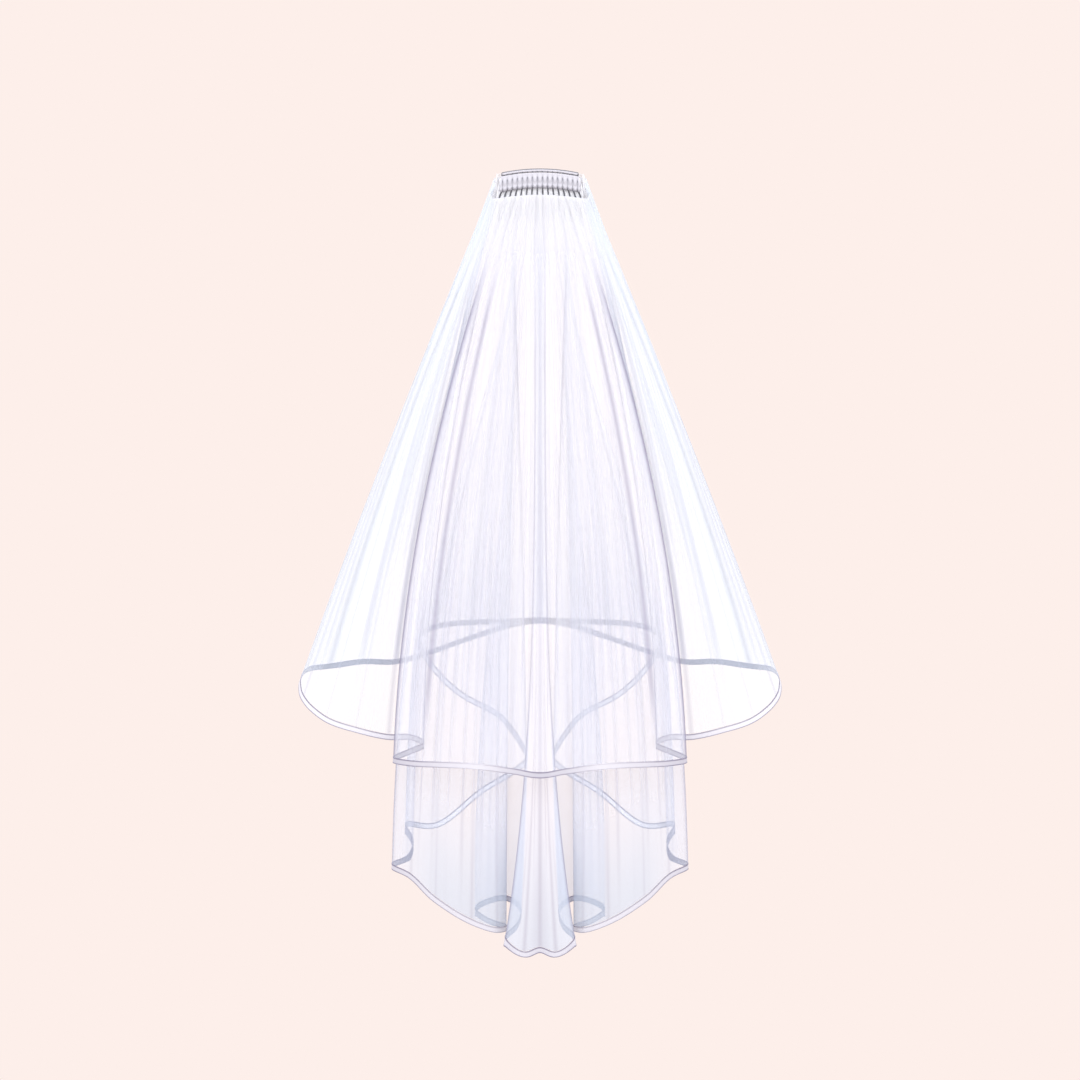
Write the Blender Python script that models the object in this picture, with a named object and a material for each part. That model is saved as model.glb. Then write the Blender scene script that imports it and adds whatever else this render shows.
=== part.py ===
"""A two-tier veil of sheer tulle with satin ribbon hems, gathered onto a hair comb.

Metres, +Z up. It hangs hollow, as it falls when it is worn, with the outer side of the
back at -Y. The origin is under the middle of the comb's rail, where the comb is pushed
into the hair. Both halves are alike, so the tables give the +X half only.
"""

from math import cos, pi, sin
from typing import NamedTuple

import bmesh
import bpy
import numpy as np

MM = 0.001

# Comb
COMB_WIDTH = 76 * MM
RAIL_HEIGHT = 3.6 * MM
RAIL_DEPTH = 2.0 * MM
RAIL_EDGE = 0.5 * MM
RAIL_STATIONS = 17
ARCH_RISE = 4.3 * MM
HEAD_CURVE = 3.0 * MM
TOOTH_COUNT = 16
TOOTH_PITCH = 4.9 * MM
TOOTH_DIAMETER = 1.5 * MM
TOOTH_TIP = 44 * MM
TOOTH_SPREAD = 1.05  # of the tips, against the roots, outwards along the comb
TOOTH_SIDES = 6
TOOTH_PROFILE = ((0, 1), (0.8, 1), (0.96, 0.7), (1, 0.35))  # share of length, of diameter

# Wrapped binding that holds the cloth to the roots of the teeth
BINDING_TOP = 4.4 * MM
BINDING_FOOT = 15.4 * MM
BINDING_DEPTH = 2.4 * MM
BINDING_RUCHE = 0.5 * MM
BINDING_BORE = 1.1 * MM
BINDING_END_ROOM = 0.5 * MM
BINDING_ROUNDING = 0.8 * MM
BINDING_END_STEPS = 4

# Cloth and trim
CLOTH = 1.0 * MM
RIBBON = 1.2 * MM
RIBBON_WIDTH = 6.0 * MM
SEAM_GAP = 0.35 * MM

# On a slanting hem the seam and the ribbon are lengthened, down to these sines of its slant
LEAST_SEAM_SINE = 0.35
LEAST_RIBBON_SINE = 0.6

# How the cloth is divided and smoothed
CURVE_STEPS = 24
ROUNDING_PASSES = 26
TURN_WEIGHT = 7.0 * MM  # length of hem that one radian of turning counts as
COLUMNS_PER_GATHER = 4
GATHER_FADE = 1.6
GATHER_FLATNESS = 3
SHARP_ANGLE = 0.7


class HemPoint(NamedTuple):
    """One turn of a hem, from the near centre round to the far centre, in millimetres."""

    fold: str
    x: float
    y: float
    drop: float     # of the ribbon's centre line below the origin
    belly: float    # how far the cloth swells out above the hem; at 0 it falls straight
    opening: float  # above 1 the fold opens late, near the hem


class Tier(NamedTuple):
    """One tier of the veil: its gathered top, its hem and how finely it is divided."""

    name: str
    top: float           # height of the gathered edge
    half_width: float    # of the flat oval in which the gathered edge runs round the comb
    half_depth: float
    gathers: int         # fine gathers on one half
    gather_depth: float  # against the spacing of the columns
    levels: tuple        # shares of the way down
    hem: tuple


UPPER = Tier(
    name="upper",
    top=-6.0 * MM,
    half_width=45.0 * MM,
    half_depth=8.6 * MM,
    gathers=18,
    gather_depth=0.6,
    levels=(0, 0.05, 0.12, 0.22, 0.35, 0.5, 0.65, 0.78, 0.9, 1),
    hem=(
        HemPoint("front_centre", 0, -119, 576, 0.3, 1),
        HemPoint("front_side", 26, -108, 575, 0.4, 1),
        HemPoint("front_wave", 60, -112, 569, 0.6, 1),
        HemPoint("front_wave", 98, -102, 570, 0.7, 1),
        HemPoint("front_wave", 126, -101, 569, 0.75, 1),
        HemPoint("near_fold", 145, -91, 568, 0.8, 1),
        HemPoint("pleat_return", 129, -80, 563, 0.8, 1),
        HemPoint("pleat_root", 114, -71, 558, 0.8, 1),
        HemPoint("pleat_out", 128, -63, 553, 0.8, 1),
        HemPoint("lobe_start", 151, -56, 555, 0.6, 1),
        HemPoint("lobe_wave", 183, -47, 550, 0.3, 1),
        HemPoint("lobe_front", 214, -33, 543, 0.15, 1),
        HemPoint("lobe_turn", 238, -10, 527, 0.1, 1),
        HemPoint("lobe_side", 242, 8, 515, 0.1, 1),
        HemPoint("lobe_back", 237, 24, 507, 0.12, 1),
        HemPoint("back_wave", 214, 44, 508, 0.2, 1),
        HemPoint("back_wave", 181, 48, 504, 0.35, 1),
        HemPoint("back_wave", 148, 70, 510, 0.5, 1),
        HemPoint("back_wave", 115, 78, 502, 0.5, 1),
        HemPoint("back_wave", 71, 94, 490, 0.4, 1),
        HemPoint("back_wave", 35, 90, 477, 0.3, 1),
        HemPoint("back_centre", 0, 101, 474, 0.3, 1),
    ),
)

LOWER = Tier(
    name="lower",
    top=-2.0 * MM,
    half_width=41.3 * MM,
    half_depth=4.5 * MM,
    gathers=22,
    gather_depth=0.5,
    levels=(0, 0.04, 0.1, 0.2, 0.34, 0.5, 0.65, 0.78, 0.89, 1),
    hem=(
        HemPoint("pleat_centre", 0, -105, 760, 0.2, 1),
        HemPoint("pleat_lobe", 16, -106, 765, 0.2, 5),
        HemPoint("pleat_edge", 35, -98, 751, 0.2, 5),
        HemPoint("pleat_under", 23, -88, 741, 0.2, 5),
        HemPoint("pleat_inner", 19, -70, 729, 0.2, 5),
        HemPoint("loop_back", 36, -57, 722, 0.5, 2),
        HemPoint("loop_edge", 66, -57, 734, 1.1, 2.4),
        HemPoint("loop_front", 52, -67, 743, 0.9, 1.8),
        HemPoint("panel_edge", 33, -76, 747, 0.8, 1.2),
        HemPoint("panel_turn", 43, -84, 747, 0.9, 1),
        HemPoint("panel", 68, -80, 740, 0.8, 1),
        HemPoint("panel", 104, -73, 719, 0.8, 1),
        HemPoint("panel", 130, -60, 698, 0.8, 1),
        HemPoint("side_edge", 150, -43, 693, 0.84, 1),
        HemPoint("side_return", 134, -33, 688, 0.84, 1),
        HemPoint("side_return", 128, -26, 673, 0.84, 1),
        HemPoint("side_out", 137, -19, 657, 0.84, 1),
        HemPoint("flap_low", 106, -12, 661, 0.8, 1),
        HemPoint("flap_low", 62, -2, 628, 0.7, 1),
        HemPoint("flap_low", 28, 6, 609, 0.5, 1),
        HemPoint("flap_tip", 13, 14, 596, 0.5, 1),
        HemPoint("flap_high", 29, 24, 568, 0.5, 1),
        HemPoint("flap_high", 42, 29, 555, 0.8, 1.2),
        HemPoint("flap_high", 80, 37, 536, 0.8, 1.6),
        HemPoint("flap_high", 110, 45, 507, 0.7, 2),
        HemPoint("far_fold", 124, 55, 480, 0.6, 2),
        HemPoint("far_wave", 106, 65, 471, 0.5, 1.6),
        HemPoint("far_wave", 67, 66, 467, 0.4, 1.2),
        HemPoint("far_wave", 31, 78, 469, 0.4, 1),
        HemPoint("far_centre", 0, 80, 468, 0.3, 1),
    ),
)


def clear_objects():
    for item in list(bpy.data.objects):
        bpy.data.objects.remove(item, do_unlink=True)


def make_material(name, colour, roughness, metallic=0.0, alpha=1.0):
    material = bpy.data.materials.new(name)
    material.use_nodes = True
    shader = material.node_tree.nodes["Principled BSDF"]
    shader.inputs["Base Color"].default_value = (*colour, 1.0)
    shader.inputs["Roughness"].default_value = roughness
    shader.inputs["Metallic"].default_value = metallic
    shader.inputs["Alpha"].default_value = alpha
    return material


def add_object(name, mesh_data, material):
    """Makes an object of a bmesh, with its faces turned out."""
    bmesh.ops.recalc_face_normals(mesh_data, faces=mesh_data.faces)
    mesh = bpy.data.meshes.new(name)
    mesh_data.to_mesh(mesh)
    mesh_data.free()
    mesh.materials.append(material)
    mesh.shade_smooth()
    mesh.set_sharp_from_angle(angle=SHARP_ANGLE)
    item = bpy.data.objects.new(name, mesh)
    bpy.context.scene.collection.objects.link(item)
    return item


def head_curve(x):
    """How far the comb's ends stand behind its middle, to follow the head."""
    return HEAD_CURVE * (2 * x / COMB_WIDTH) ** 2


def arch_drop(x):
    """How far the comb's rail lies below its middle at x."""
    return ARCH_RISE * (2 * x / COMB_WIDTH) ** 2


def flat_oval(share, half_width, half_depth):
    """A place on the +X half of an oval with straight sides, from near to far."""
    straight = half_width - half_depth
    along = share * (2 * straight + pi * half_depth)
    if along < straight:
        return along, -half_depth
    angle = (along - straight) / half_depth
    if angle < pi:
        return straight + half_depth * sin(angle), -half_depth * cos(angle)
    return straight - (along - straight - pi * half_depth), half_depth


def smooth_half_hem(hem):
    """Samples a curve through a hem's points: x, y, drop, belly and opening a row."""
    points = np.array([point[1:] for point in hem], dtype=float)
    points[:, :3] *= MM
    mirror = np.array([-1, 1, 1, 1, 1])
    points = np.vstack([points[1] * mirror, points, points[-2] * mirror])
    chords = np.linalg.norm(np.diff(points[:, :3], axis=0), axis=1)
    knots = np.concatenate([[0], np.cumsum(np.sqrt(chords))])
    rates = np.diff(points, axis=0) / np.diff(knots)[:, None]
    spans = np.diff(knots)[:, None]
    slopes = (rates[:-1] * spans[1:] + rates[1:] * spans[:-1]) / (spans[:-1] + spans[1:])
    samples = []
    for index in range(1, len(points) - 2):
        span = knots[index + 1] - knots[index]
        start, end = points[index], points[index + 1]
        for step in range(CURVE_STEPS):
            u = step / CURVE_STEPS
            place = (
                (2 * u**3 - 3 * u**2 + 1) * start
                + (u**3 - 2 * u**2 + u) * span * slopes[index - 1]
                + (3 * u**2 - 2 * u**3) * end
                + (u**3 - u**2) * span * slopes[index]
            )
            place[3:] = start[3:] + u * (end[3:] - start[3:])
            samples.append(place)
    samples.append(points[-2])
    samples = np.array(samples)
    for _ in range(ROUNDING_PASSES):
        ends = np.vstack([samples[1] * mirror, samples, samples[-2] * mirror])
        samples = (ends[:-2] + 2 * ends[1:-1] + ends[2:]) / 4
    return samples


def pick_columns(samples, intervals):
    """Picks columns along half a hem, closer together where it turns sharply."""
    steps = np.diff(samples[:, :3], axis=0)
    lengths = np.linalg.norm(steps, axis=1)
    headings = np.unwrap(np.arctan2(steps[:, 1], steps[:, 0]))
    turns = np.concatenate([[0], np.abs(np.diff(headings))])
    weights = np.concatenate([[0], np.cumsum(lengths + TURN_WEIGHT * turns)])
    wanted = np.linspace(0, weights[-1], intervals + 1)
    return np.column_stack([np.interp(wanted, weights, column) for column in samples.T])


def unit(vectors):
    """The same directions with a length of 1."""
    return vectors / np.linalg.norm(vectors, axis=-1, keepdims=True)


def surface_normals(grid):
    """Outward unit normals of a ring of columns, indexed level, column, axis."""
    across = np.roll(grid, -1, axis=1) - np.roll(grid, 1, axis=1)
    down = np.gradient(grid, axis=0)
    return unit(np.cross(down, across))


def mirrored_ring(half):
    """Completes a half ring, indexed level, column, axis, with its mirror image."""
    other = half[:, -2:0:-1].copy()
    other[:, :, 0] *= -1
    return np.concatenate([half, other], axis=1)


def tier_folds(tier):
    """The middle of a tier's cloth with its large folds: a grid of levels, columns and axes."""
    intervals = tier.gathers * COLUMNS_PER_GATHER
    hem = pick_columns(smooth_half_hem(tier.hem), intervals)
    top = np.array([
        flat_oval(column / intervals, tier.half_width, tier.half_depth)
        for column in range(intervals + 1)
    ])
    top[:, 1] += head_curve(top[:, 0])
    hem_height = -(hem[:, 2] - RIBBON_WIDTH / 2 - SEAM_GAP)
    level = np.array(tier.levels, dtype=float)[:, None]
    swell = level + hem[:, 3] * level * (1 - level)
    x = top[:, 0] + (hem[:, 0] - top[:, 0]) * swell ** hem[:, 4]
    y = top[:, 1] + (hem[:, 1] - top[:, 1]) * swell
    z = tier.top + (hem_height - tier.top) * level
    return mirrored_ring(np.stack([x, y, z], axis=2))


def tier_surface(tier):
    """A tier's folds with its fine gathers, deep at the comb and gone at the hem."""
    grid = tier_folds(tier)
    level = np.array(tier.levels, dtype=float)[:, None]
    wave = np.cos(2 * pi * np.arange(grid.shape[1]) / COLUMNS_PER_GATHER)
    spacing = np.linalg.norm(np.roll(grid, -1, axis=1) - grid, axis=2)
    cloth = sum(np.roll(spacing, shift, axis=1) for shift in (2, 1, 0, -1))
    chord = np.linalg.norm(np.roll(grid, -2, axis=1) - np.roll(grid, 2, axis=1), axis=2)
    flatness = (chord / cloth) ** GATHER_FLATNESS
    depth = tier.gather_depth * flatness * cloth / 4 * (1 - level) ** GATHER_FADE
    return grid + surface_normals(grid) * (depth * wave)[:, :, None]


def close_loop(mesh_data, rows):
    """Joins closed rows of vertices, each to the next and the last to the first."""
    count = len(rows[0])
    for row, next_row in zip(rows, rows[1:] + rows[:1]):
        for column in range(count):
            after = (column + 1) % count
            mesh_data.faces.new((row[column], next_row[column], next_row[after], row[after]))


def ring_wall(grid, normals, thickness):
    """A closed wall of a given thickness round a ring of columns."""
    mesh_data = bmesh.new()
    offset = normals * thickness / 2
    outer = [[mesh_data.verts.new(point) for point in row] for row in grid + offset]
    inner = [[mesh_data.verts.new(point) for point in row] for row in grid - offset]
    close_loop(mesh_data, outer + inner[::-1])
    bmesh.ops.triangulate(mesh_data, faces=mesh_data.faces, quad_method="SHORT_EDGE")
    return mesh_data


def ribbon_surface(cloth):
    """The middle of the ribbon that continues a tier's cloth past its cut edge."""
    edge = cloth[-1]
    fall = unit(edge - cloth[-2])
    along = unit(np.roll(edge, -1, axis=0) - edge)
    sine_after = np.linalg.norm(np.cross(fall, along), axis=1, keepdims=True)
    sine_before = np.linalg.norm(np.cross(fall, np.roll(along, 1, axis=0)), axis=1, keepdims=True)
    sine = np.minimum(sine_before, sine_after)
    seam = SEAM_GAP / np.maximum(sine, LEAST_SEAM_SINE)
    width = RIBBON_WIDTH / np.maximum(sine, LEAST_RIBBON_SINE)
    return np.stack([edge + fall * seam, edge + fall * (seam + width)])


def build_tier(tier, cloth_material, ribbon_material):
    """A tier's tulle and its ribbon."""
    cloth = tier_surface(tier)
    normals = surface_normals(cloth)
    add_object("tier_" + tier.name, ring_wall(cloth, normals, CLOTH), cloth_material)
    edge_normals = np.stack([normals[-1], normals[-1]])
    ribbon = ring_wall(ribbon_surface(cloth), edge_normals, RIBBON)
    add_object("ribbon_" + tier.name, ribbon, ribbon_material)


def bridge_rings(mesh_data, rings):
    """Joins rings of vertices into a closed tube with flat ends."""
    for first, second in zip(rings, rings[1:]):
        for index in range(len(first)):
            after = (index + 1) % len(first)
            mesh_data.faces.new((first[index], first[after], second[after], second[index]))
    mesh_data.faces.new(rings[0][::-1])
    mesh_data.faces.new(rings[-1])


def add_rail(mesh_data):
    """The comb's arched rail, with its long edges eased."""
    flat_y = RAIL_DEPTH / 2 - RAIL_EDGE
    flat_z = RAIL_HEIGHT / 2 - RAIL_EDGE
    profile = []
    for side_y, side_z in ((-1, -1), (1, -1), (1, 1), (-1, 1)):
        on_face = (side_y * RAIL_DEPTH / 2, side_z * flat_z)
        on_edge = (side_y * flat_y, side_z * RAIL_HEIGHT / 2)
        profile += [on_face, on_edge] if side_y * side_z > 0 else [on_edge, on_face]
    rings = []
    for x in np.linspace(-COMB_WIDTH / 2, COMB_WIDTH / 2, RAIL_STATIONS):
        centre_z = RAIL_HEIGHT / 2 - arch_drop(x)
        rings.append([mesh_data.verts.new((x, head_curve(x) + y, centre_z + z)) for y, z in profile])
    bridge_rings(mesh_data, rings)


def add_tooth(mesh_data, x):
    """A round tooth from the middle of the rail down to its tip."""
    root_z = RAIL_HEIGHT / 2 - arch_drop(x)
    tip_z = -TOOTH_TIP - arch_drop(x)
    rings = []
    for share, width in TOOTH_PROFILE:
        centre_x = x * (1 + (TOOTH_SPREAD - 1) * share)
        centre_z = root_z + (tip_z - root_z) * share
        radius = TOOTH_DIAMETER / 2 * width
        ring = []
        for side in range(TOOTH_SIDES):
            angle = 2 * pi * (side + 0.5) / TOOTH_SIDES
            place = (centre_x + radius * cos(angle), head_curve(x) + radius * sin(angle), centre_z)
            ring.append(mesh_data.verts.new(place))
        rings.append(ring)
    bridge_rings(mesh_data, rings)


def tooth_places():
    """The places of the teeth along the comb."""
    first = -(TOOTH_COUNT - 1) * TOOTH_PITCH / 2
    return [first + index * TOOTH_PITCH for index in range(TOOTH_COUNT)]


def build_comb(material):
    """The rail, with its teeth joined to it."""
    rail_data = bmesh.new()
    add_rail(rail_data)
    comb = add_object("comb", rail_data, material)
    teeth_data = bmesh.new()
    for x in tooth_places():
        add_tooth(teeth_data, x)
    teeth = add_object("comb_teeth", teeth_data, material)
    teeth.hide_render = True
    teeth.display_type = "WIRE"
    joint = comb.modifiers.new("teeth", "BOOLEAN")
    joint.operation = "UNION"
    joint.solver = "EXACT"
    joint.object = teeth


def binding_outline():
    """Columns round the binding: x, the way out from it in x and y, and its share of ruche.

    There is one at each tooth and one that stands out between each two.
    """
    half_pitch = TOOTH_PITCH / 2
    end = (TOOTH_COUNT - 1) * half_pitch
    side = [(-end + index * half_pitch, index % 2) for index in range(2 * TOOTH_COUNT - 1)]
    turn = [pi * step / BINDING_END_STEPS for step in range(1, BINDING_END_STEPS)]
    columns = [(x, 0.0, -1.0, ruche) for x, ruche in side]
    columns += [(end, sin(angle), -cos(angle), 0) for angle in turn]
    columns += [(-x, 0.0, 1.0, ruche) for x, ruche in side]
    columns += [(-end, -sin(angle), cos(angle), 0) for angle in turn]
    return columns


def binding_row(mesh_data, depth, reach, ruche):
    """A closed row of the binding's vertices, a given reach out from the row of teeth."""
    row = []
    for x, out_x, out_y, share in binding_outline():
        out = reach + ruche * share
        place_x = x + out_x * (out + BINDING_END_ROOM)
        place_y = head_curve(x) + out_y * out
        row.append(mesh_data.verts.new((place_x, place_y, -depth - arch_drop(x))))
    return row


def build_binding(material):
    """A ruched sleeve that wraps the roots of the teeth and takes the gathered cloth."""
    mesh_data = bmesh.new()
    eased = BINDING_DEPTH - BINDING_ROUNDING
    rows = [
        binding_row(mesh_data, BINDING_TOP, eased, BINDING_RUCHE),
        binding_row(mesh_data, BINDING_TOP + BINDING_ROUNDING, BINDING_DEPTH, BINDING_RUCHE),
        binding_row(mesh_data, BINDING_FOOT - BINDING_ROUNDING, BINDING_DEPTH, BINDING_RUCHE),
        binding_row(mesh_data, BINDING_FOOT, eased, BINDING_RUCHE),
        binding_row(mesh_data, BINDING_FOOT, BINDING_BORE, 0),
        binding_row(mesh_data, BINDING_TOP, BINDING_BORE, 0),
    ]
    close_loop(mesh_data, rows)
    add_object("comb_binding", mesh_data, material)


def main():
    clear_objects()
    tulle = make_material("tulle", (0.97, 0.97, 0.99), 0.8, alpha=0.35)
    satin = make_material("satin", (0.93, 0.92, 0.97), 0.35)
    metal = make_material("metal", (0.62, 0.62, 0.66), 0.3, metallic=1.0)
    thread = make_material("thread", (0.82, 0.81, 0.88), 0.6)
    build_comb(metal)
    build_binding(thread)
    build_tier(LOWER, tulle, satin)
    build_tier(UPPER, tulle, satin)


main()
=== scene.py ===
"""The finish of a two-tier tulle veil with satin ribbon hems on a hair comb.

The net of each tier is a thin shell on the form of its solid, with finer gathers and
creases, and each ribbon continues its hem. Metres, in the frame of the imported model.
Both halves of the veil are alike, so the tables give the +X half only.
"""

from math import cos, pi, radians, sin
from typing import NamedTuple

import bpy
import numpy as np
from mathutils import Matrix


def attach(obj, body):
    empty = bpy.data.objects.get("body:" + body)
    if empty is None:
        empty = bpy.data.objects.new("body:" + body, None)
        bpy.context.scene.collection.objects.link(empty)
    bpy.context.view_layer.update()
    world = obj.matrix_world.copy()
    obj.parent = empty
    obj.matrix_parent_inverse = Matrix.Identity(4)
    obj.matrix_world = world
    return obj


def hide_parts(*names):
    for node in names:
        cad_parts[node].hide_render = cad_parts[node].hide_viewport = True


MM = 0.001

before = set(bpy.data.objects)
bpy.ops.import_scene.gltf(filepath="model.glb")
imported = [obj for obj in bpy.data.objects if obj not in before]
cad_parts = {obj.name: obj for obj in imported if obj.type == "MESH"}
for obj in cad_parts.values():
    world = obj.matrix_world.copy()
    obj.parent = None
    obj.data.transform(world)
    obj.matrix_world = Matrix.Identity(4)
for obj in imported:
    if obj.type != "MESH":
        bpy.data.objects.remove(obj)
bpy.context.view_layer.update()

# Camera, set by the photo's viewing angle
CAMERA_HEIGHT_ANGLE = radians(12)
CAMERA_DISTANCE = 3.0
CAMERA_AIM_Z = -0.3665
CAMERA_LENS = 100
CAMERA_SENSOR = 36

# Comb: its rail of two wires rises in the middle, and it is curved to follow the head
COMB_WIDTH = 76 * MM
RAIL_HEIGHT = 3.6 * MM
RAIL_WIRE = 1.1 * MM
RAIL_STATIONS = 97
WIRE_SIDES = 12
BAND_FLATNESS = 0.62
ARCH_RISE = 4.3 * MM
HEAD_CURVE = 3.0 * MM

# Teeth: they lean outwards between two shares of their length
TOOTH_COUNT = 16
TOOTH_PITCH = 4.9 * MM
TOOTH_DIAMETER = 1.5 * MM
TOOTH_TIP = 44 * MM
TOOTH_SPREAD = 1.085
TOOTH_BEND = (0.3, 0.5)
# Share of the length and of the diameter
TOOTH_PROFILE = (
    (0, 1),
    (0.3, 1),
    (0.35, 1),
    (0.4, 1),
    (0.45, 1),
    (0.5, 1),
    (0.85, 0.95),
    (0.96, 0.7),
    (0.99, 0.45),
    (1, 0.15),
)

# Ribbon, with the least sines of the angle between the hem and the fall of the net by which
# the gap at its seam and its width are stretched
RIBBON_WIDTH = 6.0 * MM
SEAM_GAP = 0.35 * MM
LEAST_SEAM_SINE = 0.35
LEAST_RIBBON_SINE = 0.6

# Division and smoothing of the cloth
CURVE_STEPS = 48
ROUNDING_PASSES = 104
TURN_WEIGHT = 7.0 * MM
COLUMNS_PER_GATHER = 4
FINE_COLUMNS = 6
LEVELS = 84
LEVEL_CROWDING = 1.15


class HemPoint(NamedTuple):
    """One turn of a hem, from the near centre round to the far centre, in millimetres."""

    fold: str
    x: float
    y: float
    drop: float     # of the ribbon's centre line below the origin
    belly: float    # how far the cloth swells out above the hem; at 0 it falls straight
    opening: float  # above 1 the fold opens late, near the hem
    tone: float     # of the ribbon, from 0 in full light to 1 in the shade of the folds
    edge: float     # how dark the painted shade at the ribbon's selvedges is
    line: float     # how strong a line of painted shade this fold draws up the net
    cover: float    # share of the net that is thread
    light: float    # of the net, from 0 in the shade of other layers to 1 where it stands free
    fill_and_shade: float     # how much closer the net looks towards its hem, with painted shade there


class Crease(NamedTuple):
    """A soft crease that runs down the cloth, with a line of painted shade along it."""

    share: float  # of the half hem, from the near centre
    start: float  # share of the way down where it begins
    end: float    # and where it ends
    depth: float  # millimetres, outwards if positive
    width: float  # millimetres of hem
    shade: float = 0.5  # how dark its painted shade is, from 0 to 1


class Tier(NamedTuple):
    """One tier of the veil."""

    name: str
    top: float           # height of its gathered edge
    half_width: float    # of the gathered edge
    half_depth: float
    gathers: int         # in half the hem
    gather_depth: float  # as a share of the cloth in a gather
    hem: tuple
    creases: tuple


UPPER = Tier(
    name="upper",
    top=-6.0 * MM,
    half_width=43.2 * MM,
    half_depth=8.6 * MM,
    gathers=18,
    gather_depth=0.6,
    hem=(
        HemPoint("front_centre", 0, -119, 576, 0.3, 1, 0.63, 0.9, 0.25, 0.18, 0.5, 0),
        HemPoint("front_side", 26, -108, 575, 0.4, 1, 0.57, 0.6, 0.3, 0.17, 0.5, 0),
        HemPoint("front_wave", 60, -112, 569, 0.6, 1, 0.46, 0.15, 0.25, 0.17, 0.5, 0),
        HemPoint("front_wave", 98, -102, 570, 0.7, 1, 0.5, 0.5, 0.25, 0.17, 0.5, 0),
        HemPoint("front_wave", 126, -101, 569, 0.75, 1, 0.58, 0.8, 0.4, 0.17, 0.5, 0),
        HemPoint("near_fold", 145, -91, 568, 0.8, 1, 0.67, 0.9, 1.0, 0.16, 0.5, 0),
        HemPoint("pleat_return", 129, -80, 563, 0.8, 1, 0.67, 0.6, 0.4, 0.11, 0.5, 0),
        HemPoint("pleat_root", 114, -71, 558, 0.8, 1, 0.67, 0.6, 0.9, 0.11, 0.6, 0),
        HemPoint("pleat_out", 128, -63, 553, 0.8, 1, 0.68, 0.6, 0.4, 0.12, 0.7, 0),
        HemPoint("lobe_start", 151, -56, 555, 0.6, 1, 0.49, 0.8, 0.6, 0.28, 0.9, 0),
        HemPoint("lobe_wave", 183, -47, 550, 0.3, 1, 0.42, 0.6, 0.3, 0.29, 1, 0),
        HemPoint("lobe_front", 214, -33, 543, 0.15, 1, 0.43, 0.8, 0.3, 0.29, 1, 0),
        HemPoint("lobe_turn", 238, -10, 527, 0.1, 1, 0.48, 0.9, 0.5, 0.29, 1, 0),
        HemPoint("lobe_side", 242, 8, 515, 0.1, 1, 0.55, 0.9, 0.6, 0.29, 1, 0),
        HemPoint("lobe_back", 237, 24, 507, 0.12, 1, 0.60, 0.6, 0.5, 0.28, 1, 0),
        HemPoint("back_wave", 214, 44, 508, 0.2, 1, 0.9, 0.6, 0.7, 0.28, 1, 0),
        HemPoint("back_wave", 181, 48, 504, 0.35, 1, 0.85, 0.5, 0.4, 0.28, 0.9, 0),
        HemPoint("back_wave", 148, 70, 510, 0.5, 1, 0.9, 0.5, 0.8, 0.31, 0.7, 0),
        HemPoint("back_wave", 115, 78, 502, 0.5, 1, 0.97, 0.5, 0.4, 0.28, 0.6, 0),
        HemPoint("back_wave", 71, 94, 490, 0.4, 1, 0.97, 0.5, 0.6, 0.28, 0.5, 0),
        HemPoint("back_wave", 35, 90, 477, 0.3, 1, 0.97, 0.5, 0.4, 0.28, 0.5, 0),
        HemPoint("back_centre", 0, 101, 474, 0.3, 1, 0.97, 0.5, 0.6, 0.32, 0.3, 0),
    ),
    creases=(
        Crease(0.012, 0.25, 1.0, 2.2, 4),
        Crease(0.034, 0.35, 0.95, -1.8, 5),
        Crease(0.060, 0.20, 0.80, 1.6, 4),
        Crease(0.083, 0.45, 1.0, -2.0, 6),
        Crease(0.108, 0.15, 0.90, 2.0, 5),
        Crease(0.136, 0.30, 0.70, -1.4, 5),
        Crease(0.160, 0.40, 1.0, 1.8, 6),
        Crease(0.165, 0.10, 0.95, 0, 45, 0.12),
        Crease(0.184, 0.05, 1.0, 1.2, 10, 0.85),
        Crease(0.205, 0.30, 1.0, 1.6, 4),
        Crease(0.222, 0.20, 0.95, -1.6, 4),
        Crease(0.296, 0.25, 0.95, 1.6, 4),
        Crease(0.330, 0.15, 0.80, 1.8, 5),
        Crease(0.375, 0.10, 0.75, -2.0, 7),
        Crease(0.430, 0.30, 0.95, 2.0, 8),
        Crease(0.505, 0.15, 1.0, 3.0, 6),
        Crease(0.545, 0.35, 0.90, -1.6, 6),
        Crease(0.640, 0.20, 1.0, 2.4, 7),
        Crease(0.700, 0.30, 0.85, -2.2, 6),
        Crease(0.762, 0.15, 0.95, 2.0, 6),
        Crease(0.825, 0.35, 1.0, -2.4, 7),
        Crease(0.880, 0.20, 0.80, 1.8, 5),
        Crease(0.938, 0.25, 0.95, 2.2, 6),
        Crease(0.978, 0.40, 1.0, -1.8, 5),
    ),
)

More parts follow.
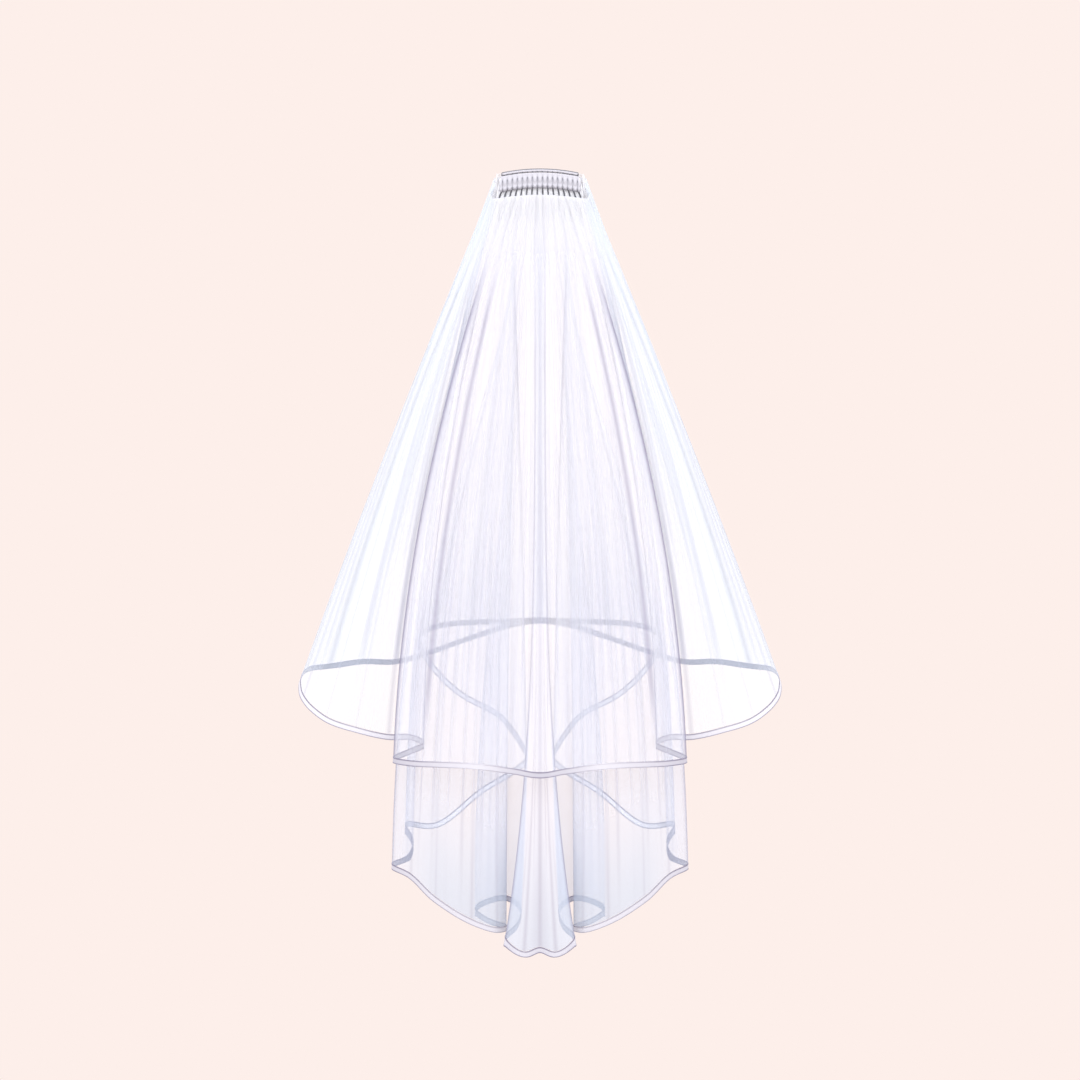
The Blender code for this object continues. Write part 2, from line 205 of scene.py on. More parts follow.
LOWER = Tier(
    name="lower",
    top=-2.0 * MM,
    half_width=40.5 * MM,
    half_depth=4.5 * MM,
    gathers=22,
    gather_depth=0.5,
    hem=(
        HemPoint("pleat_centre", 0, -105, 760, 0.2, 1, 0.57, 1.0, 0.6, 0.38, 0.1, 1.0),
        HemPoint("pleat_lobe", 16, -106, 765, 0.2, 5, 0.5, 0.7, 0.5, 0.36, 0.1, 0.9),
        HemPoint("pleat_edge", 35, -98, 751, 0.2, 5, 0.56, 0.9, 0.8, 0.38, 0.2, 0.8),
        HemPoint("pleat_under", 23, -88, 741, 0.2, 5, 0.67, 0.7, 0.4, 0.5, 0.4, 0.3),
        HemPoint("pleat_inner", 19, -70, 729, 0.2, 5, 0.7, 0.6, 0.3, 0.45, 0.45, 0.5),
        HemPoint("loop_back", 36, -57, 722, 0.5, 2, 0.6, 0.6, 0.3, 0.32, 0.45, 0.4),
        HemPoint("loop_edge", 66, -57, 734, 1.1, 2.4, 0.8, 0.9, 0.5, 0.18, 0.3, 0),
        HemPoint("loop_front", 52, -67, 743, 0.9, 1.8, 0.57, 0.7, 0.4, 0.1, 0.3, 0),
        HemPoint("panel_edge", 33, -76, 747, 0.8, 1.2, 0.54, 0.7, 0.45, 0.19, 0.1, 0.8),
        HemPoint("panel_turn", 43, -84, 747, 0.9, 1, 0.46, 0.5, 0.3, 0.2, 0, 0.9),
        HemPoint("panel", 68, -80, 740, 0.8, 1, 0.46, 0.55, 0.4, 0.205, 0, 1.0),
        HemPoint("panel", 104, -73, 719, 0.8, 1, 0.48, 0.6, 0.3, 0.205, 0, 1.0),
        HemPoint("panel", 130, -60, 698, 0.8, 1, 0.53, 0.8, 0.4, 0.205, 0.1, 0.6),
        HemPoint("side_edge", 150, -43, 693, 0.84, 1, 0.6, 1.0, 0.8, 0.2, 0.2, 0),
        HemPoint("side_return", 134, -33, 688, 0.84, 1, 0.97, 1.0, 0.4, 0.2, 0.3, 0),
        HemPoint("side_return", 128, -26, 673, 0.84, 1, 0.97, 1.0, 0.7, 0.18, 0.4, 0),
        HemPoint("side_out", 137, -19, 657, 0.84, 1, 0.87, 1.0, 0.7, 0.18, 0.5, 0),
        HemPoint("flap_low", 106, -12, 661, 0.8, 1, 0.12, 1.0, 0.3, 0.2, 0.5, 0),
        HemPoint("flap_low", 62, -2, 628, 0.7, 1, 0.1, 1.0, 0.3, 0.2, 0.5, 0),
        HemPoint("flap_low", 28, 6, 609, 0.5, 1, 0.12, 1.0, 0.3, 0.2, 0.5, 0),
        HemPoint("flap_tip", 13, 14, 596, 0.5, 1, 0.6, 1.0, 1.0, 0.2, 0.5, 0),
        HemPoint("flap_high", 29, 24, 568, 0.5, 1, 0.6, 1.0, 0.4, 0.2, 0.5, 0),
        HemPoint("flap_high", 42, 29, 555, 0.8, 1.2, 0.4, 1.0, 0.3, 0.2, 0.5, 0),
        HemPoint("flap_high", 80, 37, 536, 0.8, 1.6, 0.3, 1.0, 0.4, 0.2, 0.5, 0),
        HemPoint("flap_high", 110, 45, 507, 0.7, 2, 0.4, 1.0, 0.7, 0.2, 0.5, 0),
        HemPoint("far_fold", 124, 55, 480, 0.6, 2, 0.95, 0.6, 0.8, 0.28, 0.5, 0),
        HemPoint("far_wave", 106, 65, 471, 0.5, 1.6, 0.97, 0.5, 0.5, 0.29, 0.3, 0),
        HemPoint("far_wave", 67, 66, 467, 0.4, 1.2, 0.97, 0.5, 0.4, 0.29, 0.3, 0),
        HemPoint("far_wave", 31, 78, 469, 0.4, 1, 0.97, 0.5, 0.4, 0.29, 0.3, 0),
        HemPoint("far_centre", 0, 80, 468, 0.3, 1, 0.97, 0.5, 0.6, 0.3, 0.3, 0),
    ),
    creases=(
        Crease(0.000, 0.30, 1.2, 0, 34, 0.1),
        Crease(0.000, 0.75, 1.3, 0, 30, 0.3),
        Crease(0.010, 0.55, 0.95, -1.6, 4),
        Crease(0.028, 0.75, 1.0, 2.0, 5),
        Crease(0.232, 0.40, 1.0, 1.4, 4),
        Crease(0.252, 0.30, 0.95, -1.8, 5),
        Crease(0.278, 0.35, 1.0, 1.8, 5),
        Crease(0.300, 0.50, 0.92, -1.6, 4),
        Crease(0.322, 0.20, 0.97, 2.0, 6),
        Crease(0.345, 0.60, 1.0, -1.4, 4),
        Crease(0.366, 0.45, 0.90, 1.6, 5),
        Crease(0.420, 0.30, 0.95, 1.8, 6),
        Crease(0.470, 0.40, 1.0, -1.8, 6),
        Crease(0.520, 0.25, 0.90, 1.8, 6),
        Crease(0.575, 0.45, 1.0, -1.8, 5),
        Crease(0.690, 0.30, 0.95, 1.8, 6),
        Crease(0.740, 0.40, 1.0, -1.6, 5),
        Crease(0.870, 0.30, 0.90, 1.6, 5),
        Crease(0.930, 0.35, 1.0, -1.8, 5),
        Crease(0.975, 0.25, 0.95, 1.6, 5),
    ),
)


def head_curve(x):
    """How far the comb's ends stand behind its middle, to follow the head."""
    return HEAD_CURVE * (2 * x / COMB_WIDTH) ** 2


def arch_drop(x):
    """How far the comb's rail lies below its middle at x."""
    return ARCH_RISE * (2 * x / COMB_WIDTH) ** 2


def flat_oval(share, half_width, half_depth):
    """A place on the +X half of an oval with straight sides, from near to far."""
    straight = half_width - half_depth
    along = share * (2 * straight + pi * half_depth)
    if along < straight:
        return along, -half_depth
    angle = (along - straight) / half_depth
    if angle < pi:
        return straight + half_depth * sin(angle), -half_depth * cos(angle)
    return straight - (along - straight - pi * half_depth), half_depth


def smooth_half_hem(hem):
    """Samples a curve through a hem's points, with a column for each of their values."""
    points = np.array([point[1:] for point in hem], dtype=float)
    points[:, :3] *= MM
    mirror = np.array([-1] + [1] * (points.shape[1] - 1))
    points = np.vstack([points[1] * mirror, points, points[-2] * mirror])
    chords = np.linalg.norm(np.diff(points[:, :3], axis=0), axis=1)
    knots = np.concatenate([[0], np.cumsum(np.sqrt(chords))])
    rates = np.diff(points, axis=0) / np.diff(knots)[:, None]
    spans = np.diff(knots)[:, None]
    slopes = (rates[:-1] * spans[1:] + rates[1:] * spans[:-1]) / (spans[:-1] + spans[1:])
    samples = []
    for index in range(1, len(points) - 2):
        span = knots[index + 1] - knots[index]
        start, end = points[index], points[index + 1]
        for step in range(CURVE_STEPS):
            u = step / CURVE_STEPS
            place = (
                (2 * u**3 - 3 * u**2 + 1) * start
                + (u**3 - 2 * u**2 + u) * span * slopes[index - 1]
                + (3 * u**2 - 2 * u**3) * end
                + (u**3 - u**2) * span * slopes[index]
            )
            place[3:] = start[3:] + u * (end[3:] - start[3:])
            samples.append(place)
    samples.append(points[-2])
    samples = np.array(samples)
    for _ in range(ROUNDING_PASSES):
        ends = np.vstack([samples[1] * mirror, samples, samples[-2] * mirror])
        samples = (ends[:-2] + 2 * ends[1:-1] + ends[2:]) / 4
    return samples


def pick_columns(samples, intervals):
    """Picks columns along half a hem, closer together where it turns sharply.

    Returns their samples and how far along the hem each lies.
    """
    steps = np.diff(samples[:, :3], axis=0)
    lengths = np.linalg.norm(steps, axis=1)
    along = np.concatenate([[0], np.cumsum(lengths)])
    headings = np.unwrap(np.arctan2(steps[:, 1], steps[:, 0]))
    turns = np.concatenate([[0], np.abs(np.diff(headings))])
    weights = np.concatenate([[0], np.cumsum(lengths + TURN_WEIGHT * turns)])
    wanted = np.linspace(0, weights[-1], intervals + 1)
    picked = np.column_stack([np.interp(wanted, weights, column) for column in samples.T])
    return picked, np.interp(wanted, weights, along)


def unit(vectors):
    """The same directions with a length of 1."""
    return vectors / np.linalg.norm(vectors, axis=-1, keepdims=True)


def surface_normals(grid):
    """Outward unit normals of a ring of columns, indexed level, column, axis."""
    across = np.roll(grid, -1, axis=1) - np.roll(grid, 1, axis=1)
    down = np.gradient(grid, axis=0)
    return unit(np.cross(down, across))


def mirrored(half, flip_x=False):
    """Completes half a ring, indexed level, column and perhaps axis, with its mirror image."""
    other = half[:, -2:0:-1].copy()
    if flip_x:
        other[:, :, 0] *= -1
    return np.concatenate([half, other], axis=1)


def ease(value, start, end):
    """0 up to start, 1 from end, with a smooth step between."""
    share = np.clip((value - start) / (end - start), 0, 1)
    return share * share * (3 - 2 * share)


# The near side's gathered edge lies below the origin, under the binding, and rises to the
# far side's between these shares of the edge's half depth
NEAR_EDGE = 21 * MM
NEAR_EDGE_REACH = (-0.1, 0.9)

# Gathers: how fast they fade down the cloth, how they keep out of sharp turns, and the waves
# that make them uneven, as strengths and counts over half the hem
GATHER_FADE = 1.6
GATHER_FLATNESS = 3
DRIFT_WAVES = ((0.9, 5), (0.7, 13))
UNEVEN_MEAN = 0.72
UNEVEN_WAVE = (0.28, 9)
UNEVEN_SLANT = 2.1
FINE_DEPTH = 0.3
FINE_PER_GATHER = 3
FINE_FADE = 3.5

# Shade in the gathers
CREST_SHADE = 0.32
CREST_DRIFT = 0.25
CREST_SHARPNESS = 5
CREST_START = (0.04, 0.12)
CREST_FADE = (0.35, 0.95)

# Creases: shares of the way down over which they start and end, and the part that fades
CREASE_START = 0.2
CREASE_END = 0.15
FADED_PART = 0.85
LINE_SHARPNESS = 3
LINE_WIDTH_AT_TOP = 0.35

# Lines and soft bands of painted shade that the main folds draw, in millimetres and shares of
# the way down
FOLD_BAND = 0.12
FOLD_LINE_WIDTH = 15
FOLD_SHADE_WIDTH = 30
FOLD_LINE_START = 0.05
FOLD_LINE_END = 1.2
FOLD_START = (0.1, 0.35)
FOLD_TURN = (0.12, 0.75)  # share of the cloth's width that the turn takes up
FOLD_BEND = (0.05, 0.3)   # how far the cloth bends, over its width

# How the net's gathers, cover and painted light and shade change down the cloth, as shares of
# the way down
GATHER_REACH = 0.09
GATHER_STEEPNESS = 1.5
FAR_GATHER = 0.5
HEM_FILL_START = 0.76
LAYERED_LIGHT = 0.5
LOW_SHADE = 0.6
LOW_SHADE_REACH = (0.5, 0.88)
TOP_SHADE = 0.3
TOP_SHADE_REACH = (0.1, 0.4)


def fold_creases(tier, hem, along):
    """The lines of painted shade that a hem's main folds draw up the net."""
    creases = []
    for point in tier.hem:
        nearest = np.argmin(np.hypot(hem[:, 0] - point.x * MM, hem[:, 1] - point.y * MM))
        share = along[nearest] / along[-1]
        line = (FOLD_LINE_WIDTH * point.line, point.line)
        band = (FOLD_SHADE_WIDTH, FOLD_BAND * point.line)
        for width, shade in (line, band):
            creases.append(Crease(share, FOLD_LINE_START, FOLD_LINE_END, 0, width, shade))
    return tuple(creases)


class Cloth(NamedTuple):
    """A tier's net, with its look and painted light and shade at each point, and the ribbon's
    painted shade at each column.
    """

    grid: np.ndarray
    along: np.ndarray  # metres round the hem
    down: np.ndarray   # metres from the gathered edge
    looks: dict        # numbers for each point of the net, by the name of their attribute
    tone: np.ndarray   # painted shade of the ribbon
    edge: np.ndarray   # painted shade of its selvedges


def smooth_form(tier, hem):
    """The form of a tier's net without its gathers.

    Returns its points, how far down the cloth each lies, from 0 to 1, and how far each
    column of its half is on the near side.
    """
    columns = len(hem)
    top = np.array([
        flat_oval(column / (columns - 1), tier.half_width, tier.half_depth)
        for column in range(columns)
    ])
    hem_height = -(hem[:, 2] - RIBBON_WIDTH / 2 - SEAM_GAP)
    near = ease(-top[:, 1] / tier.half_depth, *NEAR_EDGE_REACH)
    near_edge = near * (tier.top + NEAR_EDGE + arch_drop(top[:, 0])) / (tier.top - hem_height)
    top[:, 1] += head_curve(top[:, 0])
    rows = (np.arange(LEVELS + 1) / LEVELS)[:, None] ** LEVEL_CROWDING
    level = near_edge + (1 - near_edge) * rows
    swell = level + hem[:, 3] * level * (1 - level)
    x = top[:, 0] + (hem[:, 0] - top[:, 0]) * swell ** hem[:, 4]
    y = top[:, 1] + (hem[:, 1] - top[:, 1]) * swell
    z = tier.top + (hem_height - tier.top) * level
    return mirrored(np.stack([x, y, z], axis=2), flip_x=True), mirrored(level), near


def drape(tier):
    """Works out a tier's net from its hem, its gathers and its creases."""
    half = tier.gathers * COLUMNS_PER_GATHER * FINE_COLUMNS
    hem, along = pick_columns(smooth_half_hem(tier.hem), half)
    grid, level, near = smooth_form(tier, hem)

    # How much of the cloth's width is left between the neighbours of a point
    reach = 2 * FINE_COLUMNS
    ahead, behind = np.roll(grid, -reach, axis=1), np.roll(grid, reach, axis=1)
    cloth = np.linalg.norm(np.roll(grid, -1, axis=1) - grid, axis=2) * 2 * reach
    straight = np.clip(np.linalg.norm(ahead - behind, axis=2) / cloth, 0, 1)
    flatness = straight ** GATHER_FLATNESS

    # Gathers, with finer ones between them
    phase = 2 * pi * np.arange(grid.shape[1]) / (COLUMNS_PER_GATHER * FINE_COLUMNS)
    depth = tier.gather_depth * flatness * cloth / COLUMNS_PER_GATHER
    share = mirrored((along / along[-1])[None, :])[0]
    drift = sum(strength * np.cos(count * pi * share) for strength, count in DRIFT_WAVES)
    strength, count = UNEVEN_WAVE
    uneven = UNEVEN_MEAN + strength * np.cos(count * pi * share + UNEVEN_SLANT * level)
    push = depth * uneven * np.cos(phase) * (1 - level) ** GATHER_FADE
    fine = FINE_DEPTH * np.cos(FINE_PER_GATHER * phase + drift) * (1 - level) ** FINE_FADE
    push = push + depth * fine
    # Painted shade on the crests of the gathers, fading down the cloth
    crest = np.clip(-np.cos(phase + CREST_DRIFT * drift), 0, 1) ** CREST_SHARPNESS * uneven
    shade = CREST_SHADE * crest * ease(level, *CREST_START)
    shade = shade * (1 - FADED_PART * ease(level, *CREST_FADE))

    # Creases, and the lines of painted shade along them
    for crease in tier.creases + fold_creases(tier, hem, along):
        distance = (share - crease.share) * along[-1] / (crease.width * MM)
        run = ease(level, crease.start, crease.start + CREASE_START)
        run = run * (1 - FADED_PART * ease(level, crease.end - CREASE_END, crease.end))
        push = push + crease.depth * MM * run * np.exp(-distance**2) * flatness
        narrowing = LINE_WIDTH_AT_TOP + (1 - LINE_WIDTH_AT_TOP) * level
        line = np.exp(-(LINE_SHARPNESS * distance * narrowing) ** 2)
        shade = np.maximum(shade, crease.shade * run * line)
    # Painted shade where the cloth turns in its main folds
    bend = np.linalg.norm(ahead[:, :, :2] + behind[:, :, :2] - 2 * grid[:, :, :2], axis=2)
    fold = ease(1 - straight, *FOLD_TURN) * ease(level, *FOLD_START)
    shade = np.clip(shade + FOLD_BAND * fold * ease(bend / cloth, *FOLD_BEND), 0, 1)

    # Look of the net: its cover, and painted light and shade by layer, down the cloth, in its
    # gathers and at its hem
    side = FAR_GATHER + (1 - FAR_GATHER) * mirrored(near[None, :])
    tone, edge = mirrored(hem.T[5:7])
    cover, light, fill_and_shade = mirrored(hem.T[8:])
    layered = 1 - ease(light, LAYERED_LIGHT, 1.0)
    shaded = LOW_SHADE * ease(level, *LOW_SHADE_REACH)
    shaded = shaded + TOP_SHADE * (1 - ease(level, *TOP_SHADE_REACH))
    looks = {
        "shade": shade,
        "gather": side * np.exp(-(level / GATHER_REACH) ** GATHER_STEEPNESS),
        "cover": np.broadcast_to(cover, shade.shape),
        "light": light * (1 - layered * shaded),
        "fill_and_shade": fill_and_shade * ease(level, HEM_FILL_START, 1.0),
    }
    round_hem = np.concatenate([along, 2 * along[-1] - along[-2:0:-1]])
    return Cloth(
        grid=grid + surface_normals(grid) * push[:, :, None],
        along=np.broadcast_to(round_hem, shade.shape),
        down=level * (tier.top + hem[:, 2].max() - RIBBON_WIDTH / 2 - SEAM_GAP),
        looks=looks,
        tone=tone,
        edge=edge,
    )


def make_mesh(name, rows, closed_down=False, values=None, flat=None):
    """A mesh of closed rows of points, each joined to the next.

    values are named attributes with a number for each point, and flat is a pair of
    coordinates for each point, kept as the UV map cloth.
    """
    rows = np.asarray(rows)
    count_down, count = rows.shape[:2]
    last = count_down if closed_down else count_down - 1
    index = np.arange(count_down * count).reshape(count_down, count)
    upper = index[:last]
    lower = np.roll(index, -1, axis=0)[:last]
    faces = np.stack(
        [upper, lower, np.roll(lower, -1, axis=1), np.roll(upper, -1, axis=1)], axis=2
    ).reshape(-1, 4)
    mesh = bpy.data.meshes.new(name)
    mesh.vertices.add(index.size)
    mesh.vertices.foreach_set("co", rows.reshape(-1).astype(np.float32))
    mesh.loops.add(faces.size)
    mesh.loops.foreach_set("vertex_index", faces.reshape(-1).astype(np.int32))
    mesh.polygons.add(len(faces))
    mesh.polygons.foreach_set("loop_start", np.arange(0, faces.size, 4, dtype=np.int32))
    mesh.update(calc_edges=True)
    for key, numbers in (values or {}).items():
        attribute = mesh.attributes.new(key, "FLOAT", "POINT")
        attribute.data.foreach_set("value", np.asarray(numbers).reshape(-1).astype(np.float32))
    if flat is not None:
        width = flat[0].reshape(-1)[faces]
        seam = width[:, 0] - width[:, 3] > width.max() / 2
        width[seam, 2:] += width.max() + width.max() / count
        places = np.stack([width, flat[1].reshape(-1)[faces]], axis=2)
        layer = mesh.uv_layers.new(name="cloth")
        layer.data.foreach_set("uv", places.reshape(-1).astype(np.float32))
    mesh.validate()
    mesh.shade_smooth()
    return mesh


def add_piece(name, mesh, material, replaced=()):
    """A piece of the veil that rides on its one body."""
    mesh.materials.append(material)
    piece = bpy.data.objects.new(name, mesh)
    bpy.context.scene.collection.objects.link(piece)
    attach(piece, "root")
    if replaced:
        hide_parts(*replaced)
    return piece


class Nodes:
    """A short way to write a material's node tree."""

    def __init__(self, name):
        self.material = bpy.data.materials.new(name)
        self.material.use_nodes = True
        self.tree = self.material.node_tree
        self.shader = self.tree.nodes["Principled BSDF"]

    def add(self, kind, **settings):
        """A new node with its settings."""
        node = self.tree.nodes.new(kind)
        for key, value in settings.items():
            setattr(node, key, value)
        return node

    def link(self, source, target):
        self.tree.links.new(source, target)

    def set(self, **values):
        """Sets the shader's sockets that are the same all over."""
        for key, value in values.items():
            self.shader.inputs[key.replace("_", " ")].default_value = value

    def put(self, node, **values):
        """Sets a node's sockets."""
        for key, value in values.items():
            node.inputs[key.replace("_", " ")].default_value = value

    def shape(self, output, socket):
        """Gives one of the shader's sockets a value that changes over the surface."""
        self.link(output, self.shader.inputs[socket])

    def attribute(self, name):
        """A number kept at each point of the mesh."""
        return self.add("ShaderNodeAttribute", attribute_name=name).outputs["Fac"]

    def texture(self, kind, place, settings=None, **values):
        """A texture, or a mapping for one, that reads a place."""
        node = self.add(kind, **(settings or {}))
        self.link(place, node.inputs["Vector"])
        self.put(node, **values)
        return node

    def bump(self, height, strength, distance):
        """Relief from a height."""
        node = self.add("ShaderNodeBump")
        self.put(node, Strength=strength, Distance=distance)
        self.link(height, node.inputs["Height"])
        self.shape(node.outputs["Normal"], "Normal")

    def mix_colour(self, factor, low, high):
        """From a colour at 0 to one at 1; each is a number triple or another node's output."""
        node = self.add("ShaderNodeMix", data_type="RGBA")
        self.link(factor, node.inputs["Factor"])
        for socket, value in ((node.inputs["A"], low), (node.inputs["B"], high)):
            if hasattr(value, "is_output"):
                self.link(value, socket)
            else:
                socket.default_value = (*value, 1)
        return node.outputs["Result"]

    def mix_number(self, factor, low, high):
        """From another node's output at 0 to a number at 1."""
        node = self.add("ShaderNodeMix", data_type="FLOAT")
        self.link(factor, node.inputs["Factor"])
        self.link(low, node.inputs["A"])
        node.inputs["B"].default_value = high
        return node.outputs["Result"]

    def maths(self, operation, first, second):
        node = self.add("ShaderNodeMath", operation=operation)
        for socket, value in zip(node.inputs, (first, second)):
            if hasattr(value, "is_output"):
                self.link(value, socket)
            else:
                socket.default_value = value
        return node.outputs[0]

    def ramp(self, factor, low_at, high_at, low=0.0, high=1.0):
        """A smooth step between two values of the factor."""
        node = self.add("ShaderNodeMapRange", interpolation_type="SMOOTHSTEP")
        self.link(factor, node.inputs["Value"])
        self.put(node, From_Min=low_at, From_Max=high_at, To_Min=low, To_Max=high)
        return node.outputs["Result"]


# Net: the size and irregularity of its cells, how far a thread reaches into a cell, the cover
# between and on the threads, as parts of its mean, and the strength and height of a thread
NET_CELL = 1.3 * MM
CELL_IRREGULARITY = 0.35
THREAD_REACH = (0.05, 0.22)
THREAD_COVER = (0.94, 1.08)
THREAD_RELIEF = (0.25, 0.1 * MM)

# Fine streaks of painted shade down the net, as counts in a metre, and how much they shade it
STREAK_SCALE = (230, 2.5, 1)
STREAK_DETAIL = 3
STREAK_RANGE = (0.58, 0.68)
STREAK_SHADE = 0.05

# Colours of the net, which paint its light and shade: shaded, among layers, standing free,
# in creases, in its gathers and at its hem; and the share of thread where it is densest
NET_SHADED = (0.59, 0.63, 0.74)
NET_LAYERED = (0.85, 0.85, 0.88)
NET_FREE = (0.64, 0.735, 0.835)
NET_CREASED = (0.2, 0.19, 0.27)
NET_GATHERED = (0.54, 0.54, 0.565)
NET_HEM = (0.42, 0.475, 0.565)
NET_HEM_COVER = 0.62
NET_CREASE_COVER = 0.72
NET_GATHERED_COVER = 0.85


def net_material():
    """Sheer white net: hexagon-like cells, denser where creased, with painted lavender shade
    there and painted light and shade by layer.
    """
    nodes = Nodes("sheer_net")
    flat = nodes.add("ShaderNodeUVMap", uv_map="cloth").outputs["UV"]
    cells = nodes.texture(
        "ShaderNodeTexVoronoi",
        flat,
        {"feature": "DISTANCE_TO_EDGE"},
        Scale=1 / NET_CELL,
        Randomness=CELL_IRREGULARITY,
    )
    thread = nodes.ramp(cells.outputs["Distance"], *THREAD_REACH, 1.0, 0.0)
    stretch = nodes.texture("ShaderNodeMapping", flat, Scale=STREAK_SCALE)
    streaks = nodes.texture(
        "ShaderNodeTexNoise", stretch.outputs["Vector"], Scale=1, Detail=STREAK_DETAIL
    )
    streak = nodes.ramp(streaks.outputs["Fac"], *STREAK_RANGE)
    shade = nodes.attribute("shade")
    shade = nodes.maths("MAXIMUM", shade, nodes.maths("MULTIPLY", streak, STREAK_SHADE))
    gather = nodes.attribute("gather")
    light = nodes.attribute("light")
    fill_and_shade = nodes.attribute("fill_and_shade")
    # Painted light and shade: the net's colour follows how much light it gets among the layers
    colour = nodes.mix_colour(nodes.ramp(light, 0, LAYERED_LIGHT), NET_SHADED, NET_LAYERED)
    colour = nodes.mix_colour(nodes.ramp(light, LAYERED_LIGHT, 1), colour, NET_FREE)
    # Painted shade towards the hem, where the net is also denser
    colour = nodes.mix_colour(fill_and_shade, colour, NET_HEM)
    # Painted shade in the gathers at the top, where the net is also denser
    colour = nodes.mix_colour(gather, colour, NET_GATHERED)
    # Painted lavender shade in the creases, folds and streaks
    nodes.shape(nodes.mix_colour(shade, colour, NET_CREASED), "Base Color")
    weave = nodes.ramp(thread, 0, 1, *THREAD_COVER)
    cover = nodes.maths("MULTIPLY", nodes.attribute("cover"), weave)
    cover = nodes.mix_number(fill_and_shade, cover, NET_HEM_COVER)
    cover = nodes.mix_number(shade, cover, NET_CREASE_COVER)
    nodes.shape(nodes.mix_number(gather, cover, NET_GATHERED_COVER), "Alpha")
    nodes.bump(thread, *THREAD_RELIEF)
    nodes.set(Roughness=0.9, Specular_IOR_Level=0.1)
    return nodes.material


# Satin: the pitch, irregularity, strength and height of its weave, the scale of the faint
# clouds in its white, and its colours, the last of them its painted shade
WEAVE_PITCH = 0.7 * MM
WEAVE_IRREGULARITY = 0.6
WEAVE_RELIEF = (0.15, 0.05 * MM)
CLOUD_SCALE = 25
SATIN_WHITES = ((0.84, 0.84, 0.88), (0.92, 0.92, 0.95))
SATIN_SHADE = (0.085, 0.07, 0.135)


def bands_in(pitch):
    """The scale of a wave texture whose bands across X have this pitch."""
    return 1 / pitch / 2 / pi


def satin_material():
    """White satin ribbon with painted shade, darker at its selvedges, and a fine cross weave."""
    nodes = Nodes("satin_ribbon")
    flat = nodes.add("ShaderNodeUVMap", uv_map="cloth").outputs["UV"]
    weave = nodes.texture(
        "ShaderNodeTexWave",
        flat,
        {"wave_type": "BANDS", "bands_direction": "X"},
        Scale=bands_in(WEAVE_PITCH),
        Distortion=WEAVE_IRREGULARITY,
    )
    clouds = nodes.texture("ShaderNodeTexNoise", flat, Scale=CLOUD_SCALE)
    white = nodes.mix_colour(clouds.outputs["Fac"], *SATIN_WHITES)
    # Painted shade of the folds on the body, darker at the selvedges
    nodes.shape(nodes.mix_colour(nodes.attribute("shade"), white, SATIN_SHADE), "Base Color")
    nodes.bump(weave.outputs["Fac"], *WEAVE_RELIEF)
    nodes.set(Roughness=0.32, Sheen_Weight=0.1)
    return nodes.material


# Comb wire: the scale of its drawing marks, and its colour and roughness between them
MARK_SCALE = 900
METAL_COLOURS = ((0.10, 0.10, 0.115), (0.18, 0.18, 0.205))
METAL_ROUGHNESS = (0.22, 0.42)


def metal_material():
    """Bright comb wire with fine drawing marks."""
    nodes = Nodes("comb_wire")
    place = nodes.add("ShaderNodeTexCoord").outputs["Object"]
    marks = nodes.texture("ShaderNodeTexNoise", place, Scale=MARK_SCALE).outputs["Fac"]
    nodes.shape(nodes.mix_colour(marks, *METAL_COLOURS), "Base Color")
    nodes.shape(nodes.ramp(marks, 0, 1, *METAL_ROUGHNESS), "Roughness")
    nodes.set(Metallic=1.0)
    return nodes.material


# Wound thread and gathered net: their ribs, and for each the darker and the lighter colour
# and the colour of the painted shade in its tucks
RIB_PITCH = 0.6 * MM
RIB_IRREGULARITY = 1.5
RIB_DETAIL_SCALE = 3
RIB_RELIEF = (0.5, 0.15 * MM)
WOUND_THREAD = ((0.39, 0.38, 0.43), (0.49, 0.485, 0.525), (0.23, 0.23, 0.28))
GATHERED_NET = ((0.39, 0.38, 0.43), (0.49, 0.485, 0.53), (0.07, 0.07, 0.09))
GATHERED_EDGE = ((0.86, 0.86, 0.89), (0.94, 0.94, 0.96), (0.5, 0.5, 0.55))
STITCH_THREAD = ((0.26, 0.26, 0.30), (0.35, 0.35, 0.39), (0.15, 0.15, 0.18))


def thread_material(name, low, high, tucks):
    """Wound thread, ribbed across the comb, with painted shade in its tucks."""
    nodes = Nodes(name)
    ribs = nodes.texture(
        "ShaderNodeTexWave",
        nodes.add("ShaderNodeTexCoord").outputs["Object"],
        {"wave_type": "BANDS", "bands_direction": "X"},
        Scale=bands_in(RIB_PITCH),
        Distortion=RIB_IRREGULARITY,
        Detail_Scale=RIB_DETAIL_SCALE,
    ).outputs["Fac"]
    colour = nodes.mix_colour(ribs, low, high)
    nodes.shape(nodes.mix_colour(nodes.attribute("shade"), colour, tucks), "Base Color")
    nodes.bump(ribs, *RIB_RELIEF)
    nodes.set(Roughness=0.6, Sheen_Weight=0.2)
    return nodes.material


# The part of its shade that a ribbon keeps on the face turned from the near side, and the
# outward Y over which one passes into the other
TURNED_PART = 0.4
TURN_REACH = (-0.3, 0.3)

# One face of the ribbon's section: share of its width, height in millimetres over the
# middle of the cloth, and how much painted shade the selvedge takes
RIBBON_SECTION = (
    (0.000, 0.10, 1.0),
    (0.015, 0.36, 1.0),
    (0.075, 0.46, 1.0),
    (0.140, 0.42, 0.7),
    (0.190, 0.30, 0.35),
    (0.230, 0.27, 0.1),
    (0.360, 0.30, 0.0),
    (0.500, 0.32, 0.0),
    (0.640, 0.30, 0.0),
    (0.770, 0.27, 0.1),
    (0.810, 0.30, 0.35),
    (0.860, 0.42, 0.7),
    (0.925, 0.46, 1.0),
    (0.985, 0.36, 1.0),
    (1.000, 0.10, 1.0),
)


